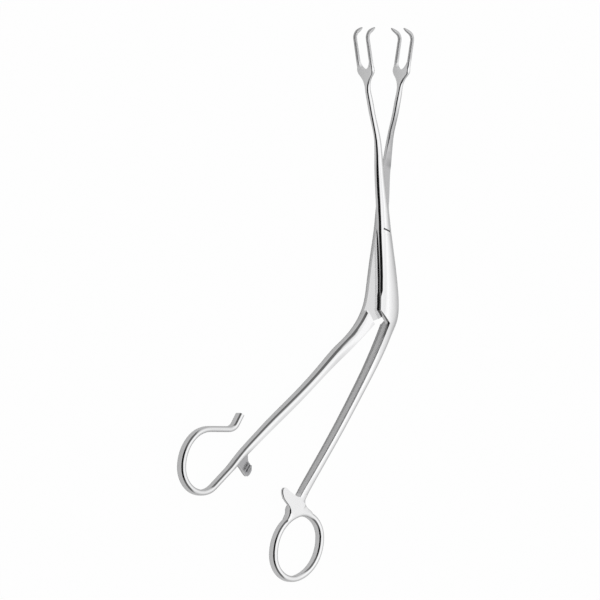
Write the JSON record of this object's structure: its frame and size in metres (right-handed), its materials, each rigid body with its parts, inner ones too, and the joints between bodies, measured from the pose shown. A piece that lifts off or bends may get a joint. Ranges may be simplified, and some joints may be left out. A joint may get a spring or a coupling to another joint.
{
  "type": "tonsil grasping forceps",
  "caption": "Two-pronged tonsil grasping forceps with angled handles, a lap joint, one closed and one open finger ring, and a short ratchet.",
  "frame": {"origin": "on the pivot axis, at the underside of the joint", "axes": "+Z along the pivot axis from the underside to the screw head, +Y towards the jaws, +X to the right seen from the front"},
  "size_m": [0.1046, 0.1948, 0.0085],
  "materials": {
    "polished_steel": "polished"
  },
  "bodies": {
    "back": {"back_blade": "polished_steel", "pivot_screw": "polished_steel"},
    "front": {"front_blade": "polished_steel"}
  },
  "joints": [
    {"name": "blade_pivot", "type": "hinge", "parent": "back", "child": "front", "pos_m": [0, 0, 0.00261], "axis": [0, 0, 1], "range_deg": [-10.3, 22]}
  ]
}
